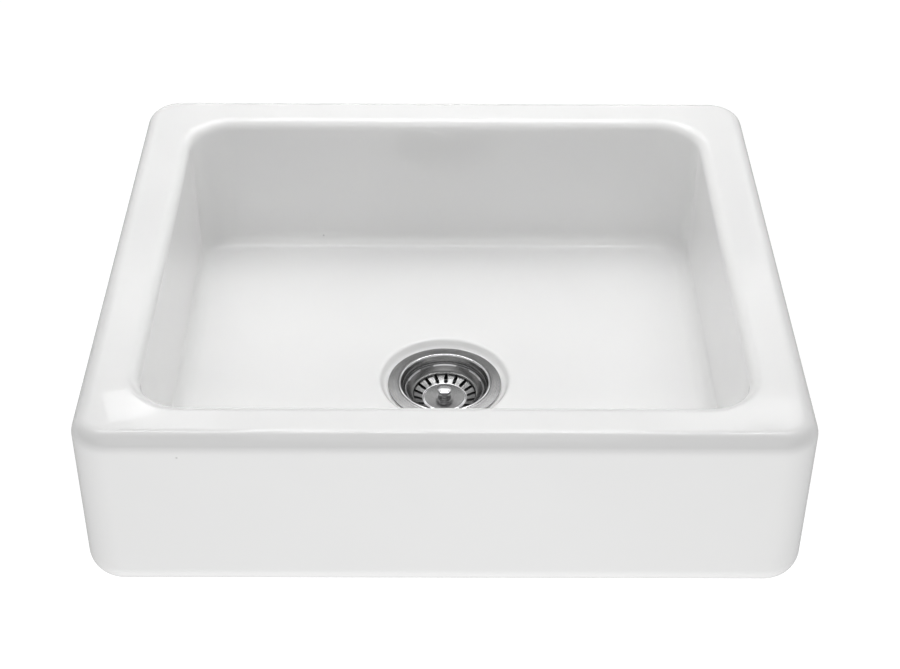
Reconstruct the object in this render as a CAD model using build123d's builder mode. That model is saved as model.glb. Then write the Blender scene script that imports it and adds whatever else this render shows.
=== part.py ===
from build123d import *
import os

os.makedirs("parts", exist_ok=True)

# Farmhouse apron front sink with a basket strainer waste, in millimetres.
# The origin is on the drain's axis in the plane of the sink's foot. +Z is up and the apron faces -Y.

# ---- fireclay basin ----
sink_width = 635.0
apron_reach = 278.0  # drain axis to the apron's face
back_reach = 292.0  # drain axis to the back face
sink_height = 172.0
outer_corner_r = 34.0
rim_edge_r = 15.0
foot_edge_r = 24.0
rim_width = 51.0
lip_r = 11.0  # rounding from the rim into the bowl
bowl_corner_r = 42.0
wall_draft = 0.9  # degrees, the bowl narrows downwards
bowl_floor_z = 20.0  # floor height beside the walls
floor_fillet_r = 17.0
fall_r = 200.0  # the floor starts to fall towards the drain at this radius
floor_fall = 2.0
recess_gap = 4.9  # round the strainer's flange
recess_depth = 8.1
recess_lip_r = 3.5
recess_foot_r = 3.0
drain_hole_r = 45.0
foot_width = 50.0  # the ring that the sink stands on
foot_rise = 3.0
foot_step_r = 12.0

# ---- strainer cup ----
flange_r = 57.0
flange_rise = 0.7  # the flange climbs this much from its edge to the lip
lip_height = 1.7  # above the flange's edge
sheet = 0.9
seal_sheet = 1.2
seal_inset = 1.0  # from the flange's edge and from the hole's
hole_gap = 1.3  # between the drain hole and the cup's mouth
lip_width = 3.9
lip_crest = 1.5  # from the mouth to the lip's highest line
cup_funnel = 1.2  # the funnel narrows this much from the step to the ledge
cup_step = 0.7
cup_step_drop = 3.2
cup_hole_fit = 0.3
ledge_gap = 1.1  # round the basket's rim
ledge_bite = 1.0  # the ledge reaches this far in under the rim
cup_ledge_drop = 8.2  # below the flange's edge
cup_seat_drop = 24.0
cup_wall_taper = 1.2
cup_throat_drop = 34.0
cup_throat_r = 30.5
cup_depth = 41.0
cup_floor_bevel = 4.0
cup_slot_count = 8
cup_slot_width = 6.0
cup_slot_inner_r = 13.0
cup_slot_outer_r = 24.0

# ---- basket ----
basket_sheet = 0.8
basket_rim_r = 39.4
basket_rim_bead_r = 0.8
basket_rest_gap = 0.3
basket_band_mid = 4.5  # from the rim to the band's middle
basket_band_drop = 10.4
basket_band_width = 7.4  # from the rim to the shoulder
basket_shoulder_drop = 12.3
basket_shoulder_run = 0.6
basket_step_lean = 0.4
shoulder_round = 0.5
basket_step_drop = 15.3
basket_cone_run = 9.5  # from the step to the well round the disc
basket_well_drop = 18.9
basket_disc_step = 1.0
basket_disc_drop = 18.2
slot_count = 18
slot_width = 3.7
slot_inner_shy = 0.7  # the slots start this far outside the well
slot_shy = 0.4  # and end this far inside the shoulder
basket_slot_sink = 3.0  # the slots are cut from this far under the disc
slot_turn = 3.0  # degrees from the back centre to the nearest slot

# ---- knob, stem and seal ----
knob_r = 7.1
knob_neck_r = 6.0
knob_foot_r = 6.7
knob_height = 11.4
knob_dome = 1.6
knob_band = 1.6
knob_waist = 0.42  # share of the height at which it is slimmest
knob_foot_height = 1.0
knob_bore = 8.0
stem_play = 0.3
stem_r = 2.5
stem_fit = 0.05
stem_chamfer = 0.5
carrier_inset = 3.9  # from the disc's edge
carrier_height = 3.0
seal_hub_height = 2.6
seal_flat_run = 8.0  # beyond the carrier
seal_lip_gap = 0.4
seal_lip_thick = 1.3
seal_lip_fall = 3.2
retainer_run = 2.0  # beyond the carrier
retainer_height = 1.4
nut_flats = 8.0
nut_height = 4.0
detent_height = 3.0
detent_gap = 0.3
detent_split = 1.2
detent_reach = 4.6  # the stem goes this far into the screw's head
detent_from_tip = 0.8

# ---- clamp screw, insert and waste body ----
screw_head_r = 8.5
screw_head_height = 7.0
screw_bore_r = 4.8
screw_bore_depth = 5.8
screw_r = 4.0
screw_length = 24.0
screw_fit = 0.06
coin_slot_width = 2.0
coin_slot_depth = 1.8
screw_chamfer = 0.8
insert_cover = 3.0
washer_r = 10.5
washer_height = 1.2
insert_r = 6.2
insert_length = 14.0
hub_r = 9.5
hub_length = 22.0
rib_count = 3
rib_thick = 3.0
gasket_height = 3.0
gasket_inset = 1.0  # from the waste body's flange edge
gasket_lip = 3.2
gasket_fit = 0.4
body_flange_r = 56.0
body_flange_height = 3.5
body_wall = 2.6
web_count = 8
web_thick = 2.5
web_reach = 9.0
web_height = 8.0
web_bite = 0.5  # sunk in the drum's wall
body_bore_gap = 1.6  # round the cup
body_drum_depth = 31.6
body_cone_depth = 21.0
outlet_thread_r = 23.9
outlet_bore_r = 19.6
outlet_length = 22.0

# ---- outlet nut, washer and tailpiece ----
outlet_washer_height = 2.0
tail_r = 20.0
tail_wall = 1.9
tail_swell = 0.4
tail_swell_length = 5.0
tail_length = 55.0
tail_flange_r = 23.0
tail_flange_height = 2.5
tail_chamfer = 0.8
nut_outer_r = 29.5
nut_floor = 3.0
nut_fit = 0.08
nut_reach = 20.0
nut_hole_fit = 0.3
nut_rib_count = 12
nut_rib_r = 1.6
nut_chamfer = 0.6

# Levels that several pieces share.
drain_floor_z = bowl_floor_z - floor_fall
seat_z = drain_floor_z - recess_depth
edge_z = seat_z + seal_sheet + sheet
slab_under_z = foot_rise
gasket_under_z = slab_under_z - gasket_height
cup_floor_z = edge_z - cup_depth
cup_under_z = cup_floor_z - sheet
sink_depth = apron_reach + back_reach
sink_centre_y = (back_reach - apron_reach) / 2

# Radii that follow from the flange, the hole and the basket's rim.
recess_r = flange_r + recess_gap
cup_mouth_r = drain_hole_r - hole_gap
flange_flat_r = cup_mouth_r + lip_width
lip_top_r = cup_mouth_r + lip_crest
cup_ledge_r = basket_rim_r + ledge_gap
cup_wall_r = basket_rim_r - ledge_bite
cup_seat_r = cup_wall_r - cup_wall_taper
cup_step_r = cup_ledge_r + cup_funnel
body_bore_r = cup_ledge_r + sheet + body_bore_gap
basket_shoulder_r = basket_rim_r - basket_band_width
basket_band_r = basket_rim_r - basket_band_mid
basket_step_r = basket_shoulder_r - basket_shoulder_run
basket_well_r = basket_step_r - basket_cone_run
basket_disc_r = basket_well_r - basket_disc_step
slot_inner_r = basket_well_r + slot_inner_shy
slot_outer_r = basket_shoulder_r - slot_shy
carrier_r = basket_disc_r - carrier_inset
seal_flat_r = carrier_r + seal_flat_run
retainer_r = carrier_r + retainer_run


def far_side(points, thickness):
    """The other face of a sheet drawn through (r, z) points: each corner moves down or out by its mitre."""
    vectors = [Vector(r, z) for r, z in points]
    runs = [(b - a).normalized() for a, b in zip(vectors, vectors[1:])]
    normals = [Vector(-run.Y, run.X) for run in runs]
    moved = []
    for i, point in enumerate(vectors):
        before = normals[max(i - 1, 0)]
        after = normals[min(i, len(normals) - 1)]
        mitre = (before + after).normalized()
        moved.append(point + mitre * (thickness / mitre.dot(after)))
    return [(point.X, point.Y) for point in moved]


# The outer block is raised from its foot and its vertical corners are turned, then the bowl is sunk in it.
bowl_width = sink_width - 2 * rim_width
bowl_depth_y = sink_depth - 2 * rim_width
bowl_sink = sink_height - bowl_floor_z
cut_spare = 1.0
cut_top_z = bowl_floor_z + cut_spare
with BuildPart() as sink_body:
    with BuildSketch(Plane.XY):
        with Locations((0, sink_centre_y)):
            RectangleRounded(sink_width, sink_depth, outer_corner_r)
    extrude(amount=sink_height)
    fillet(sink_body.faces().sort_by(Axis.Z)[-1].edges(), rim_edge_r)
    fillet(sink_body.faces().sort_by(Axis.Z)[0].edges(), foot_edge_r)
    with BuildSketch(Plane.XY.offset(sink_height)):
        with Locations((0, sink_centre_y)):
            RectangleRounded(bowl_width, bowl_depth_y, bowl_corner_r)
    extrude(amount=-bowl_sink, taper=wall_draft, mode=Mode.SUBTRACT)
    bowl_floor = sink_body.faces().filter_by(Plane.XY).sort_by(Axis.Z)[-2]
    fillet(bowl_floor.edges(), floor_fillet_r)
    rim_face = sink_body.faces().filter_by(Plane.XY).sort_by(Axis.Z)[-1]
    fillet(rim_face.inner_wires()[0].edges(), lip_r)
    # The floor falls gently to the recess, whose lip is rounded and whose flat floor carries the flange.
    # The cut starts above the floor and ends below the foot.
    with BuildSketch(Plane.XZ) as drain_profile:
        with BuildLine():
            Polyline(
                (0, cut_top_z),
                (fall_r, cut_top_z),
                (fall_r, bowl_floor_z),
                (recess_r + recess_lip_r, drain_floor_z),
            )
            RadiusArc(
                (recess_r + recess_lip_r, drain_floor_z),
                (recess_r, drain_floor_z - recess_lip_r),
                -recess_lip_r,
            )
            Line((recess_r, drain_floor_z - recess_lip_r), (recess_r, seat_z + recess_foot_r))
            RadiusArc(
                (recess_r, seat_z + recess_foot_r),
                (recess_r - recess_foot_r, seat_z),
                recess_foot_r,
            )
            Polyline(
                (recess_r - recess_foot_r, seat_z),
                (drain_hole_r, seat_z),
                (drain_hole_r, -cut_spare),
                (0, -cut_spare),
                (0, cut_top_z),
            )
        make_face()
    revolve(axis=Axis.Z, mode=Mode.SUBTRACT)
    # Underneath, the slab is set back inside a foot ring.
    with BuildSketch(Plane.XY):
        with Locations((0, sink_centre_y)):
            RectangleRounded(sink_width - 2 * foot_width, sink_depth - 2 * foot_width, foot_step_r)
    extrude(amount=foot_rise, mode=Mode.SUBTRACT)
sink_body.part.label = "sink_body"
export_step(sink_body.part, "parts/sink_body.step")


# The seal lies flat in the recess under the flange.
with BuildPart() as flange_seal:
    with BuildSketch(Plane.XY.offset(seat_z)):
        Circle(flange_r - seal_inset)
        Circle(drain_hole_r + seal_inset, mode=Mode.SUBTRACT)
    extrude(amount=seal_sheet)
flange_seal.part.label = "flange_seal"
export_step(flange_seal.part, "parts/flange_seal.step")


# The cup is one pressed sheet, drawn on the wet side from the flange's edge to the hole for the screw.
cup_line = [
    (flange_r, edge_z),
    (flange_flat_r, edge_z + flange_rise),
    (cup_mouth_r, edge_z),
    (cup_step_r + cup_step, edge_z - cup_step_drop),
    (cup_step_r, edge_z - cup_step_drop - cup_step),
    (cup_ledge_r, edge_z - cup_ledge_drop),
    (cup_wall_r, edge_z - cup_ledge_drop),
    (cup_seat_r, edge_z - cup_seat_drop),
    (cup_throat_r, edge_z - cup_throat_drop),
    (cup_throat_r - cup_floor_bevel, cup_floor_z),
    (screw_r + cup_hole_fit, cup_floor_z),
]
cup_back = far_side(cup_line, sheet)
with BuildPart() as strainer_cup:
    with BuildSketch(Plane.XZ):
        with BuildLine():
            Line(cup_line[0], cup_line[1])
            ThreePointArc(cup_line[1], (lip_top_r, edge_z + lip_height), cup_line[2])
            Polyline(cup_line[2:] + cup_back[::-1] + cup_line[:1])
        make_face()
    revolve(axis=Axis.Z)
    with BuildSketch(Plane.XY.offset(cup_under_z)):
        with PolarLocations((cup_slot_inner_r + cup_slot_outer_r) / 2, cup_slot_count):
            SlotOverall(cup_slot_outer_r - cup_slot_inner_r, cup_slot_width)
    extrude(amount=2 * sheet, mode=Mode.SUBTRACT)
strainer_cup.part.label = "strainer_cup"
export_step(strainer_cup.part, "parts/strainer_cup.step")

# The rubber gasket seals the slab's underside, and its lip stands up in the drain hole.
with BuildPart() as underside_gasket:
    with BuildSketch(Plane.XY.offset(gasket_under_z)):
        Circle(body_flange_r - gasket_inset)
        Circle(body_bore_r, mode=Mode.SUBTRACT)
    extrude(amount=gasket_height)
    with BuildSketch(Plane.XY.offset(slab_under_z)):
        Circle(drain_hole_r - gasket_fit)
        Circle(body_bore_r, mode=Mode.SUBTRACT)
    extrude(amount=gasket_lip)
underside_gasket.part.label = "underside_gasket"
export_step(underside_gasket.part, "parts/underside_gasket.step")


# Levels under the sink.
drum_top_z = gasket_under_z
cone_top_z = drum_top_z - body_drum_depth
collar_top_z = cone_top_z - body_cone_depth
outlet_end_z = collar_top_z - outlet_length
hub_top_z = cup_under_z
hub_end_z = hub_top_z - hub_length
insert_top_z = hub_top_z - insert_cover
insert_bore_r = screw_r + screw_fit

# The water's way through the waste body: a drum, a cone and the outlet bore, round the hub and its ribs.
with BuildPart() as waterway:
    with BuildSketch(Plane.XZ):
        with BuildLine():
            Polyline(
                (0, drum_top_z),
                (body_bore_r, drum_top_z),
                (body_bore_r, cone_top_z),
                (outlet_bore_r, collar_top_z),
                (outlet_bore_r, outlet_end_z),
                (0, outlet_end_z),
                close=True,
            )
        make_face()
    revolve(axis=Axis.Z)
    with BuildSketch(Plane.XY.offset(hub_top_z)):
        Circle(hub_r)
    extrude(amount=-hub_length, mode=Mode.SUBTRACT)
    with BuildSketch(Plane.XY.offset(cone_top_z)):
        with PolarLocations(body_bore_r / 2, rib_count, start_angle=90):
            Rectangle(body_bore_r + 2 * body_wall, rib_thick)
    extrude(amount=hub_end_z - cone_top_z, mode=Mode.SUBTRACT)

# The moulded waste body holds the gasket on its flange, the insert in its hub and the nut on its collar.
with BuildPart() as waste_body:
    with BuildSketch(Plane.XZ):
        with BuildLine():
            Polyline(
                (0, drum_top_z),
                (body_flange_r, drum_top_z),
                (body_flange_r, drum_top_z - body_flange_height),
                (body_bore_r + body_wall, drum_top_z - body_flange_height),
                (body_bore_r + body_wall, cone_top_z),
                (outlet_thread_r, collar_top_z - body_wall),
                (outlet_thread_r, outlet_end_z),
                (0, outlet_end_z),
                close=True,
            )
        make_face()
    revolve(axis=Axis.Z)
    # Webs stiffen the flange against the drum.
    with BuildSketch(Plane.XY.offset(drum_top_z - body_flange_height)):
        with PolarLocations(body_bore_r + body_wall + web_reach / 2 - web_bite, web_count):
            Rectangle(web_reach + 2 * web_bite, web_thick)
    extrude(amount=-web_height)
    add(waterway.part, mode=Mode.SUBTRACT)
    with BuildSketch(Plane.XY.offset(hub_top_z)):
        Circle(screw_r + cup_hole_fit)
    extrude(amount=-hub_length, mode=Mode.SUBTRACT)
    with BuildSketch(Plane.XY.offset(insert_top_z)):
        Circle(insert_r)
    extrude(amount=-insert_length, mode=Mode.SUBTRACT)
waste_body.part.label = "waste_body"
export_step(waste_body.part, "parts/waste_body.step")


# The brass insert fills its pocket in the hub.
with BuildPart() as threaded_insert:
    with BuildSketch(Plane.XY.offset(insert_top_z)):
        Circle(insert_r)
        Circle(insert_bore_r, mode=Mode.SUBTRACT)
    extrude(amount=-insert_length)
threaded_insert.part.label = "threaded_insert"
export_step(threaded_insert.part, "parts/threaded_insert.step")


# The washer lies on the cup's floor and the screw's hollow head stands on it.
washer_top_z = cup_floor_z + washer_height
head_top_z = washer_top_z + screw_head_height
with BuildPart() as screw_washer:
    with BuildSketch(Plane.XY.offset(cup_floor_z)):
        Circle(washer_r)
        Circle(screw_r + cup_hole_fit, mode=Mode.SUBTRACT)
    extrude(amount=washer_height)
screw_washer.part.label = "screw_washer"
export_step(screw_washer.part, "parts/screw_washer.step")

with BuildPart() as clamp_screw:
    with BuildSketch(Plane.XY.offset(washer_top_z)):
        Circle(screw_head_r)
    extrude(amount=screw_head_height)
    chamfer(clamp_screw.faces().sort_by(Axis.Z)[-1].edges(), screw_chamfer)
    with BuildSketch(Plane.XY.offset(washer_top_z)):
        Circle(screw_r)
    extrude(amount=-screw_length)
    chamfer(clamp_screw.faces().sort_by(Axis.Z)[0].edges(), screw_chamfer)
    with BuildSketch(Plane.XY.offset(head_top_z)):
        Circle(screw_bore_r)
    extrude(amount=-screw_bore_depth, mode=Mode.SUBTRACT)
    # A coin slot crosses the head.
    with BuildSketch(Plane.XY.offset(head_top_z)):
        Rectangle(3 * screw_head_r, coin_slot_width)
    extrude(amount=-coin_slot_depth, mode=Mode.SUBTRACT)
clamp_screw.part.label = "clamp_screw"
export_step(clamp_screw.part, "parts/clamp_screw.step")


# Below the collar: a flat washer, the flanged tailpiece and the nut that holds both.
tail_top_z = outlet_end_z - outlet_washer_height
tail_shoulder_z = tail_top_z - tail_flange_height
with BuildPart() as outlet_washer:
    with BuildSketch(Plane.XY.offset(tail_top_z)):
        Circle(tail_flange_r)
        Circle(outlet_bore_r, mode=Mode.SUBTRACT)
    extrude(amount=outlet_washer_height)
outlet_washer.part.label = "outlet_washer"
export_step(outlet_washer.part, "parts/outlet_washer.step")

with BuildPart() as tailpiece:
    with BuildSketch(Plane.XY.offset(tail_top_z)):
        Circle(tail_flange_r)
    extrude(amount=-tail_flange_height)
    with BuildSketch(Plane.XY.offset(tail_shoulder_z)):
        Circle(tail_r + tail_swell)
    extrude(amount=-tail_swell_length)
    with BuildSketch(Plane.XY.offset(tail_shoulder_z - tail_swell_length)):
        Circle(tail_r)
    extrude(amount=-tail_length)
    chamfer(tailpiece.faces().sort_by(Axis.Z)[0].edges(), tail_chamfer)
    with BuildSketch(Plane.XY.offset(tail_top_z)):
        Circle(tail_r - tail_wall)
    extrude(amount=-(tail_flange_height + tail_swell_length + tail_length), mode=Mode.SUBTRACT)
tailpiece.part.label = "tailpiece"
export_step(tailpiece.part, "parts/tailpiece.step")

nut_floor_top_z = tail_shoulder_z
nut_end_z = nut_floor_top_z - nut_floor
with BuildPart() as outlet_nut:
    with BuildSketch(Plane.XY.offset(nut_end_z)):
        Circle(nut_outer_r)
        with PolarLocations(nut_outer_r, nut_rib_count):
            Circle(nut_rib_r)
    extrude(amount=nut_floor + nut_reach)
    chamfer(outlet_nut.faces().sort_by(Axis.Z)[0].edges(), nut_chamfer)
    with BuildSketch(Plane.XY.offset(nut_floor_top_z)):
        Circle(outlet_thread_r + nut_fit)
    extrude(amount=nut_reach, mode=Mode.SUBTRACT)
    with BuildSketch(Plane.XY.offset(nut_end_z)):
        Circle(tail_r + tail_swell + nut_hole_fit)
    extrude(amount=nut_floor, mode=Mode.SUBTRACT)
outlet_nut.part.label = "outlet_nut"
export_step(outlet_nut.part, "parts/outlet_nut.step")


# The basket: a rolled rim, a steep band, a step, a sloping slotted ring and a raised disc, all one sheet.
disc_z = edge_z - basket_disc_drop
bead_z = edge_z - cup_ledge_drop + basket_rest_gap + basket_rim_bead_r
bead_centre_r = basket_rim_r - basket_rim_bead_r
stem_bore_r = stem_r + stem_fit
basket_line = [
    (bead_centre_r - basket_rim_bead_r, bead_z),
    (basket_band_r, edge_z - basket_band_drop),
    (basket_shoulder_r, edge_z - basket_shoulder_drop),
    (basket_step_r, edge_z - basket_shoulder_drop - shoulder_round),
    (basket_step_r - basket_step_lean, edge_z - basket_step_drop),
    (basket_well_r, edge_z - basket_well_drop),
    (basket_disc_r, disc_z),
    (stem_bore_r, disc_z),
]
basket_back = far_side(basket_line, basket_sheet)
with BuildPart() as basket_cup:
    with BuildSketch(Plane.XZ):
        with BuildLine():
            ThreePointArc(basket_line[0], basket_line[1], basket_line[2])
            Polyline(basket_line[2:] + basket_back[:1:-1])
            ThreePointArc(basket_back[2], basket_back[1], basket_back[0])
            Line(basket_back[0], basket_line[0])
        make_face()
        with Locations((bead_centre_r, bead_z)):
            Circle(basket_rim_bead_r)
    revolve(axis=Axis.Z)
    with BuildSketch(Plane.XY.offset(disc_z - basket_slot_sink)):
        with PolarLocations((slot_inner_r + slot_outer_r) / 2, slot_count, start_angle=90 - slot_turn):
            SlotOverall(slot_outer_r - slot_inner_r, slot_width)
    extrude(amount=basket_slot_sink + basket_disc_drop - basket_shoulder_drop, mode=Mode.SUBTRACT)
basket_cup.part.label = "basket_cup"
export_step(basket_cup.part, "parts/basket_cup.step")


# The knob is turned, with a domed head, a waist and a foot on the disc.
knob_top_z = disc_z + knob_height
dome_r = (knob_r**2 + knob_dome**2) / (2 * knob_dome)
with BuildPart() as basket_knob:
    with BuildSketch(Plane.XZ):
        with BuildLine():
            Line((0, disc_z), (knob_foot_r, disc_z))
            Line((knob_foot_r, disc_z), (knob_foot_r, disc_z + knob_foot_height))
            waist = Spline(
                (knob_foot_r, disc_z + knob_foot_height),
                (knob_neck_r, disc_z + knob_height * knob_waist),
                (knob_r, knob_top_z - knob_dome - knob_band),
            )
            Line(waist @ 1, (knob_r, knob_top_z - knob_dome))
            RadiusArc((knob_r, knob_top_z - knob_dome), (0, knob_top_z), -dome_r)
            Line((0, knob_top_z), (0, disc_z))
        make_face()
    revolve(axis=Axis.Z)
    with BuildSketch(Plane.XY.offset(disc_z)):
        Circle(stem_bore_r)
    extrude(amount=knob_bore, mode=Mode.SUBTRACT)
basket_knob.part.label = "basket_knob"
export_step(basket_knob.part, "parts/basket_knob.step")


# Under the disc, threaded on the stem: carrier, rubber seal, retainer and nut.
carrier_top_z = disc_z - basket_sheet
seal_top_z = carrier_top_z - carrier_height
retainer_top_z = seal_top_z - seal_hub_height
nut_top_z = retainer_top_z - retainer_height
nut_bottom_z = nut_top_z - nut_height
with BuildPart() as seal_carrier:
    with BuildSketch(Plane.XY.offset(seal_top_z)):
        Circle(carrier_r)
        Circle(stem_bore_r, mode=Mode.SUBTRACT)
    extrude(amount=carrier_height)
seal_carrier.part.label = "seal_carrier"
export_step(seal_carrier.part, "parts/seal_carrier.step")

# The seal's lip droops towards the cup's tapered seat and stops just short of it.
lip_end_z = retainer_top_z - seal_lip_fall
seat_slope = (cup_seat_r - cup_throat_r) / (cup_throat_drop - cup_seat_drop)
seat_r_at_lip = cup_seat_r - (edge_z - cup_seat_drop - lip_end_z) * seat_slope
seal_lip_r = seat_r_at_lip - seal_lip_gap
with BuildPart() as basket_seal:
    with BuildSketch(Plane.XZ):
        with BuildLine():
            Polyline(
                (stem_bore_r, seal_top_z),
                (seal_flat_r, seal_top_z),
                (seal_lip_r, lip_end_z + seal_lip_thick),
                (seal_lip_r, lip_end_z),
                (seal_flat_r - seal_lip_thick, retainer_top_z),
                (stem_bore_r, retainer_top_z),
                close=True,
            )
        make_face()
    revolve(axis=Axis.Z)
basket_seal.part.label = "basket_seal"
export_step(basket_seal.part, "parts/basket_seal.step")

with BuildPart() as seal_retainer:
    with BuildSketch(Plane.XY.offset(nut_top_z)):
        Circle(retainer_r)
        Circle(stem_bore_r, mode=Mode.SUBTRACT)
    extrude(amount=retainer_height)
seal_retainer.part.label = "seal_retainer"
export_step(seal_retainer.part, "parts/seal_retainer.step")

with BuildPart() as stem_nut:
    with BuildSketch(Plane.XY.offset(nut_bottom_z)):
        RegularPolygon(nut_flats / 2, 6, major_radius=False)
        Circle(stem_bore_r, mode=Mode.SUBTRACT)
    extrude(amount=nut_height)
stem_nut.part.label = "stem_nut"
export_step(stem_nut.part, "parts/stem_nut.step")

stem_end_z = head_top_z - detent_reach
with BuildPart() as basket_stem:
    with BuildSketch(Plane.XY.offset(stem_end_z)):
        Circle(stem_r)
    extrude(amount=disc_z + knob_bore - stem_play - stem_end_z)
    chamfer(basket_stem.faces().sort_by(Axis.Z)[0].edges(), stem_chamfer)
basket_stem.part.label = "basket_stem"
export_step(basket_stem.part, "parts/basket_stem.step")

# The split spring ring rides on the stem's tip inside the hollow screw head.
with BuildPart() as detent_ring:
    with BuildSketch(Plane.XY.offset(stem_end_z + detent_from_tip)):
        Circle(screw_bore_r - detent_gap)
        Circle(stem_bore_r, mode=Mode.SUBTRACT)
        with Locations((screw_bore_r / 2 + stem_bore_r / 2, 0)):
            Rectangle(screw_bore_r, detent_split, mode=Mode.SUBTRACT)
    extrude(amount=detent_height)
detent_ring.part.label = "detent_ring"
export_step(detent_ring.part, "parts/detent_ring.step")
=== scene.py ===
import math

import bmesh
import bpy
from mathutils import Matrix, Quaternion, Vector


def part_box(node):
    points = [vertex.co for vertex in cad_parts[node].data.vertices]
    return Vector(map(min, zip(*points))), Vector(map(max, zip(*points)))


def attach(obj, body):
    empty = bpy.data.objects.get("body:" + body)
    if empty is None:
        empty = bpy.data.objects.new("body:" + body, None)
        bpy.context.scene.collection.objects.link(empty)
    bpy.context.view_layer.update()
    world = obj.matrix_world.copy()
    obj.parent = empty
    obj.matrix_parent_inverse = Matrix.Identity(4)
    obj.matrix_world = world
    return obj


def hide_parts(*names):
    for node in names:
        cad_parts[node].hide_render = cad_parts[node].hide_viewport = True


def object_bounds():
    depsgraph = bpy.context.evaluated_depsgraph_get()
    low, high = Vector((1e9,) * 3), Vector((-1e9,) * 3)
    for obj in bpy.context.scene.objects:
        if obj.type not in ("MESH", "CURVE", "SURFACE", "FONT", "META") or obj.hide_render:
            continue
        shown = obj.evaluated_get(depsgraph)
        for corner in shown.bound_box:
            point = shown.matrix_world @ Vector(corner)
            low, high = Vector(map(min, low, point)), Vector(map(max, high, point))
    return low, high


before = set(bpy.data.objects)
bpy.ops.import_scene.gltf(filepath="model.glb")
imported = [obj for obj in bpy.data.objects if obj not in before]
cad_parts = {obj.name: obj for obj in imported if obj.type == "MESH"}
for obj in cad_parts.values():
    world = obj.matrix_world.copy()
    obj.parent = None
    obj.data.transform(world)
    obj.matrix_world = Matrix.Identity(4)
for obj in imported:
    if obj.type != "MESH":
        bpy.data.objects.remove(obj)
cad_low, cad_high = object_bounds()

# A white fireclay apron-front sink with its basket strainer waste.
# The origin is on the drain's axis in the plane of the foot, +Z is up and the apron faces -Y.
# Profiles and sizes are in millimetres. Materials, lights and the camera are in metres.
MM = 0.001


def node_box(node):
    """Lowest and highest corners of a node of the frame, in millimetres."""
    low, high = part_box(node)
    return low / MM, high / MM


sink_low, sink_high = node_box("sink_body")
cup_low, cup_high = node_box("strainer_cup")
basket_low, basket_high = node_box("basket_cup")
knob_low, knob_high = node_box("basket_knob")

# ---- the basin's block; each EDGE is the radius of a rounding, and the foot is a ring under the block ----
SINK_HALF_X = (sink_high.x - sink_low.x) / 2
SINK_HALF_Y = (sink_high.y - sink_low.y) / 2
SINK_CENTRE_Y = (sink_high.y + sink_low.y) / 2
SINK_TOP = sink_high.z
OUTER_CORNER = 34.0
RIM_EDGE = 15.0
FOOT_EDGE = 24.0
FOOT_WIDTH = 50.0
FOOT_RISE = 3.0
FOOT_STEP_CORNER = 12.0
FOOT_CHAMFER = 0.4
SMALLEST_CORNER = 1.0

# ---- the bowl; its floor falls by FLOOR_FALL from FALL_R round the drain to the recess ----
RIM_WIDTH = 51.0
LIP = 11.0
BOWL_CORNER = 42.0
WALL_DRAFT = math.tan(math.radians(0.9))
FLOOR_Z = 20.0
FLOOR_FILLET = 17.0
FLOOR_FALL = 2.0
FALL_R = 200.0
HOLE_R = 45.0
HOLE_EDGE = 1.0

# ---- the waste's sheet metal ----
SHEET = 0.9
SEAL = 1.2
BASKET_SHEET = 0.8
FLANGE_R = (cup_high.x - cup_low.x) / 2
BASKET_RIM_R = (basket_high.x - basket_low.x) / 2
STEM_HOLE_R = 2.55

# ---- the recess round the flange: its outer end, the slope's lip and foot, and the seat's inner end ----
RECESS_END_R = FLANGE_R + 14.2
RECESS_LIP_R = FLANGE_R + 8.4
RECESS_FOOT_R = FLANGE_R + 3.3
RECESS_SEAT_R = HOLE_R + 6.0
RECESS_EASE = 4.0
RECESS_DEPTH = 8.1
RECESS_TOP_Z = FLOOR_Z - FLOOR_FALL
RECESS_SEAT_Z = RECESS_TOP_Z - RECESS_DEPTH

# ---- levels of the waste, as drops below the flange's upper edge ----
EDGE_Z = RECESS_SEAT_Z + SEAL + SHEET
LEDGE_DROP = 8.2
SEAT_DROP = 24.0
THROAT_DROP = 34.0
CUP_FLOOR_DROP = 41.0
SHOULDER_DROP = 12.3
DISC_DROP = 18.2
BASKET_GAP = 0.3

# ---- slots: INNER and OUTER are how near to and far from the axis a slot reaches; TURN is in degrees ----
SLOT_COUNT = 18
SLOT_WIDTH = 3.7
SLOT_INNER = 22.6
SLOT_OUTER = 31.6
SLOT_TURN = 3.0
CUP_SLOTS = 8
CUP_SLOT_WIDTH = 6.0
CUP_SLOT_INNER = 13.0
CUP_SLOT_OUTER = 24.0
CUT_REACH = 3.0

# ---- how finely the meshes are drawn ----
SIDE_STEPS = 10
CORNER_STEPS = 14
EDGE_STEPS = 10
FOOT_STEPS = 20
UNDERSIDE_STEPS = 12
FLOOR_STEPS = 48
HOLE_STEPS = 3
LATHE_STEPS = 192
KNOB_LATHE_STEPS = 96
BEND_STEPS = 5
CURVE_STEPS = 8
ROLL_STEPS = 10
SLOT_END_STEPS = 10
RING_COUNT = 4 * (2 * SIDE_STEPS + CORNER_STEPS)
# So many of the foot rounding's steps are bare clay.
BARE_STEPS = 7
# Over 1, it crowds the floor's rings towards the walls.
FLOOR_CROWD = 1.3
# A rounded corner takes at most this share of its shorter side.
BEND_SHARE = 0.45
# Points nearer than this are one point, and edges shorter than this are dropped, in metres.
WELD = 1e-7
SLIVER = 1e-8
# A flat band beside each rounding keeps the shading of the face beyond it even.
WALL_BAND = 2.0
RIM_BAND = 1.5


# ---- mesh helpers ----
def new_object(name, data):
    """A new object in the scene."""
    made = bpy.data.objects.new(name, data)
    bpy.context.scene.collection.objects.link(made)
    return made


def mesh_from(name, points, faces):
    """A smooth mesh object from points in millimetres."""
    mesh = bpy.data.meshes.new(name)
    mesh.from_pydata([(x * MM, y * MM, z * MM) for x, y, z in points], [], faces)
    mesh.update()
    mesh.shade_smooth()
    return new_object(name, mesh)


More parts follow.
